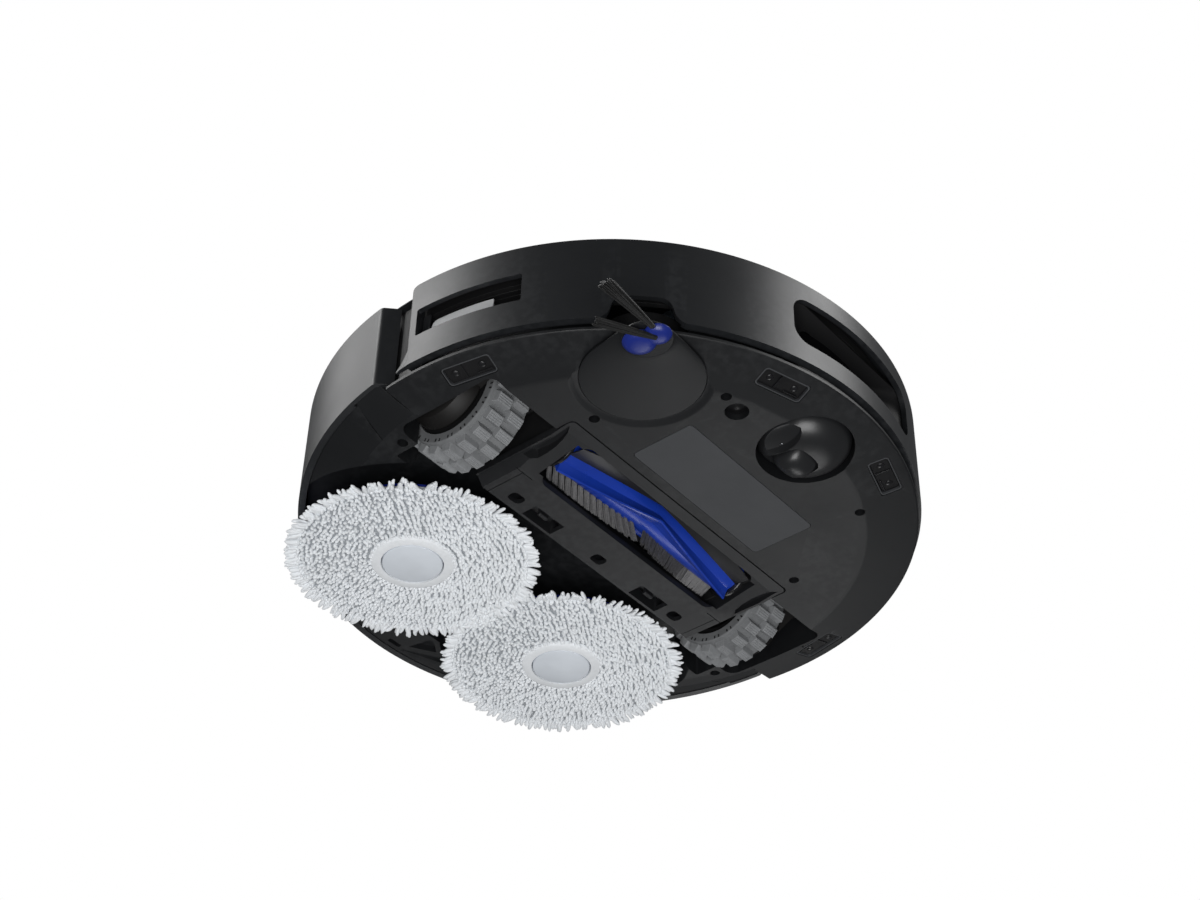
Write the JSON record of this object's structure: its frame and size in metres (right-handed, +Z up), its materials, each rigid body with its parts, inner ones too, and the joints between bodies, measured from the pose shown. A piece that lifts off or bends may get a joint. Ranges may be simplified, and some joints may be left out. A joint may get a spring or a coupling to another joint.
{
  "type": "robot vacuum",
  "caption": "Round robot vacuum that mops: sprung bumper, main roller brush, swing-out side brush, driving wheels, caster and a pair of spinning, lifting mop pads.",
  "frame": {"origin": "on the floor, under the middle of the round body", "axes": "+Z up, -Y the way it drives (front bumper), +X the robot's own left"},
  "size_m": [0.35, 0.357, 0.101],
  "materials": {
    "body": "satin charcoal",
    "base": "matte dark charcoal",
    "inner": "matte black",
    "label": "blank matte film",
    "glass": "dark infrared-clear plastic",
    "gloss": "glossy black",
    "button": "glossy",
    "blue": "glossy blue soft plastic",
    "hub": "satin blue",
    "plate": "satin blue",
    "flap": "soft black rubber",
    "bristle": "grey nylon bristles",
    "tuft": "dark nylon bristles",
    "tyre": "grey rubber",
    "pad": "off-white chenille",
    "cap": "pale grey",
    "filter": "pleated paper",
    "steel": "ground",
    "brass": "plated",
    "board": "printed circuit board",
    "tank": "smoked clear plastic"
  },
  "bodies": {
    "chassis": {"chassis_base": "base", "label_plate": "label", "carpet_sensor": "gloss", "cliff_window_front_right": "glass", "cliff_window_front_left": "glass", "cliff_window_side_right": "glass", "cliff_window_side_left": "glass", "inner_frame": "inner", "side_sensor_housing": "inner", "rear_shell": "body", "charge_contact_right": "brass", "charge_contact_left": "brass", "top_cover": "body", "turret_cover": "body", "brush_chamber": "inner", "brush_cover": "base", "battery_pack": "inner", "dust_bin": "tank", "dust_filter": "filter", "suction_fan": "inner", "water_tank": "tank", "main_board": "board", "front_sensor_module": "inner", "rear_fairing": "base", "wheel_housing_right": "inner", "wheel_housing_left": "inner"},
    "bumper": {"bumper_shell": "body", "bumper_bezel": "gloss", "bumper_glass": "glass"},
    "wheel_arm_right": {"wheel_arm_right": "inner"},
    "wheel_right": {"wheel_rim_right": "inner", "wheel_tyre_right": "tyre"},
    "wheel_arm_left": {"wheel_arm_left": "inner"},
    "wheel_left": {"wheel_rim_left": "inner", "wheel_tyre_left": "tyre"},
    "caster_swivel": {"caster_dome": "gloss", "caster_axle": "steel"},
    "caster_wheel": {"caster_wheel": "gloss"},
    "main_brush": {"main_brush_core": "blue", "main_brush_flap_1": "flap", "main_brush_flap_2": "flap", "main_brush_bristles_1": "bristle", "main_brush_bristles_2": "bristle"},
    "side_brush_arm": {"side_brush_arm": "base"},
    "side_brush": {"side_brush_hub": "hub", "side_brush_tuft_long": "tuft", "side_brush_tuft_short": "tuft"},
    "mop_lift": {"mop_lift_carriage": "inner"},
    "mop_right": {"mop_plate_right": "plate", "mop_pad_right": "pad", "mop_cap_right": "cap"},
    "mop_left": {"mop_plate_left": "plate", "mop_pad_left": "pad", "mop_cap_left": "cap"},
    "lidar": {"lidar_head": "gloss"},
    "lid": {"top_lid": "body"},
    "power_button": {"power_button": "button"},
    "dock_button": {"dock_button": "button"},
    "brush_latch_right": {"brush_latch_right": "base"},
    "brush_latch_left": {"brush_latch_left": "base"}
  },
  "joints": [
    {"name": "bumper_press", "type": "slide", "parent": "chassis", "child": "bumper", "axis": [0, 1, 0], "range_m": [0, 0.004], "stiffness_N_per_m": 400, "springref_m": -0.002},
    {"name": "wheel_drop_right", "type": "hinge", "parent": "chassis", "child": "wheel_arm_right", "pos_m": [-0.1395, -0.033, 0.042], "axis": [-1, 0, 0], "range_deg": [0, 25], "stiffness_Nm_per_rad": 0.3, "springref_deg": 57.3},
    {"name": "wheel_spin_right", "type": "hinge", "parent": "wheel_arm_right", "child": "wheel_right", "pos_m": [-0.118, 0.003, 0.036], "axis": [1, 0, 0], "continuous": true},
    {"name": "wheel_drop_left", "type": "hinge", "parent": "chassis", "child": "wheel_arm_left", "pos_m": [0.1395, -0.033, 0.042], "axis": [-1, 0, 0], "range_deg": [0, 25], "stiffness_Nm_per_rad": 0.3, "springref_deg": 57.3},
    {"name": "wheel_spin_left", "type": "hinge", "parent": "wheel_arm_left", "child": "wheel_left", "pos_m": [0.118, 0.003, 0.036], "axis": [1, 0, 0], "continuous": true},
    {"name": "caster_turn", "type": "hinge", "parent": "chassis", "child": "caster_swivel", "pos_m": [0, -0.1355, 0.018], "axis": [0, 0, 1], "continuous": true},
    {"name": "caster_roll", "type": "hinge", "parent": "caster_swivel", "child": "caster_wheel", "pos_m": [0, -0.129, 0.0115], "axis": [1, 0, 0], "continuous": true},
    {"name": "main_brush_spin", "type": "hinge", "parent": "chassis", "child": "main_brush", "pos_m": [0, -0.026, 0.0225], "axis": [1, 0, 0], "continuous": true},
    {"name": "side_brush_retract", "type": "hinge", "parent": "chassis", "child": "side_brush_arm", "pos_m": [-0.1, -0.103, 0.015], "axis": [0, 0, 1], "range_deg": [0, 65]},
    {"name": "side_brush_spin", "type": "hinge", "parent": "side_brush_arm", "child": "side_brush", "pos_m": [-0.1255, -0.1265, 0.0045], "axis": [0, 0, 1], "continuous": true},
    {"name": "mop_raise", "type": "slide", "parent": "chassis", "child": "mop_lift", "axis": [0, 0, 1], "range_m": [0, 0.0075]},
    {"name": "mop_spin_right", "type": "hinge", "parent": "mop_lift", "child": "mop_right", "pos_m": [-0.0658, 0.0922, 0.012], "axis": [0, 0, 1], "continuous": true},
    {"name": "mop_spin_left", "type": "hinge", "parent": "mop_lift", "child": "mop_left", "pos_m": [0.0658, 0.0922, 0.012], "axis": [0, 0, 1], "continuous": true},
    {"name": "lidar_spin", "type": "hinge", "parent": "chassis", "child": "lidar", "pos_m": [0, 0.066, 0.091], "axis": [0, 0, 1], "continuous": true},
    {"name": "lid_open", "type": "hinge", "parent": "chassis", "child": "lid", "pos_m": [0, 0.0075, 0.0822], "axis": [-1, 0, 0], "range_deg": [0, 80]},
    {"name": "power_press", "type": "slide", "parent": "chassis", "child": "power_button", "axis": [0, 0, -1], "range_m": [0, 0.0008], "stiffness_N_per_m": 800, "springref_m": -0.0004},
    {"name": "dock_press", "type": "slide", "parent": "chassis", "child": "dock_button", "axis": [0, 0, -1], "range_m": [0, 0.0008], "stiffness_N_per_m": 800, "springref_m": -0.0004},
    {"name": "brush_latch_squeeze_right", "type": "slide", "parent": "chassis", "child": "brush_latch_right", "axis": [0, 1, 0], "range_m": [0, 0.002], "stiffness_N_per_m": 500, "springref_m": -0.0005},
    {"name": "brush_latch_squeeze_left", "type": "slide", "parent": "chassis", "child": "brush_latch_left", "axis": [0, 1, 0], "range_m": [0, 0.002], "stiffness_N_per_m": 500, "springref_m": -0.0005}
  ],
  "couplings": [
    {"joint": "mop_spin_left", "follows": "mop_spin_right", "ratio": -1}
  ]
}
